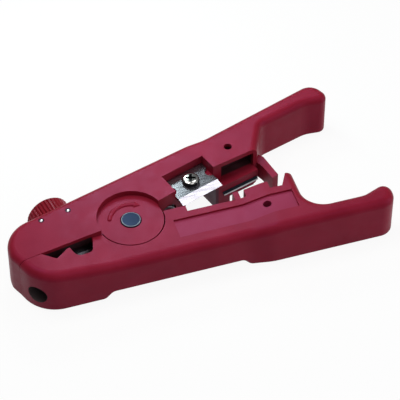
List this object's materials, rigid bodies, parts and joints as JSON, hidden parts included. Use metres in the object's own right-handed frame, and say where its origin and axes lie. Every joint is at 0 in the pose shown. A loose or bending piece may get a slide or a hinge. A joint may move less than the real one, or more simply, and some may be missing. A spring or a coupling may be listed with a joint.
{
  "type": "cable jacket stripper",
  "caption": "Hand tool of two pivoted plastic arms whose sprung, notched jaws score a round cable jacket to a depth set by a ribbed dial, with a cutter and flat-cable blades.",
  "frame": {"origin": "the middle of the tool's outline at rest, in the plane of the tool's back", "axes": "+X along the lower arm from the pivot to the handle's end, +Y towards the upper arm, +Z out of the front face"},
  "size_m": [0.133, 0.063, 0.0175],
  "materials": {
    "red_plastic": "satin moulded, crimson",
    "dial_plastic": "satin moulded, red",
    "black_plastic": "dry, slippery, black",
    "dark_steel": "oiled dark",
    "spring_steel": "drawn wire",
    "blade_steel": "ground",
    "dark_blade_steel": "blued with a ground edge",
    "nickel": "nickel plated",
    "bright_pin_steel": "bright"
  },
  "bodies": {
    "lower_half": {"lower_arm": "red_plastic", "pivot_rivet": "dark_steel", "pivot_washer": "dark_steel", "return_spring": "spring_steel", "lower_flat_blade": "dark_blade_steel", "lower_blade_pin": "dark_steel"},
    "upper_half": {"upper_arm": "red_plastic", "cutter_blade": "blade_steel", "cutter_screw": "nickel", "cutter_nut": "nickel", "upper_flat_blade": "dark_blade_steel", "upper_blade_pin": "dark_steel", "dial_retaining_pins": "bright_pin_steel"},
    "dial": {"adjusting_dial": "dial_plastic", "dial_lead_screw": "nickel", "dial_spring_washer": "spring_steel"},
    "carrier": {"blade_carrier": "black_plastic", "carrier_nut": "nickel", "strip_blade": "blade_steel", "strip_blade_pins": "bright_pin_steel"}
  },
  "joints": [
    {"name": "arm_pivot", "type": "hinge", "parent": "lower_half", "child": "upper_half", "pos_m": [-0.02325, -0.0115, 0], "axis": [0, 0, 1], "range_deg": [-16, 0], "stiffness_Nm_per_rad": 0.5, "springref_deg": 20.05, "deforming": ["return_spring"]},
    {"name": "dial_turn", "type": "hinge", "parent": "upper_half", "child": "dial", "pos_m": [-0.04449, -0.01544, 0.00875], "axis": [-0.1822, 0.9833, 0], "range_deg": [-360, 360]},
    {"name": "blade_depth", "type": "slide", "parent": "upper_half", "child": "carrier", "axis": [-0.1822, 0.9833, 0], "range_m": [-0.001, 0.001]}
  ],
  "couplings": [
    {"joint": "dial_turn", "follows": "blade_depth", "rad_per_m": -6283}
  ]
}
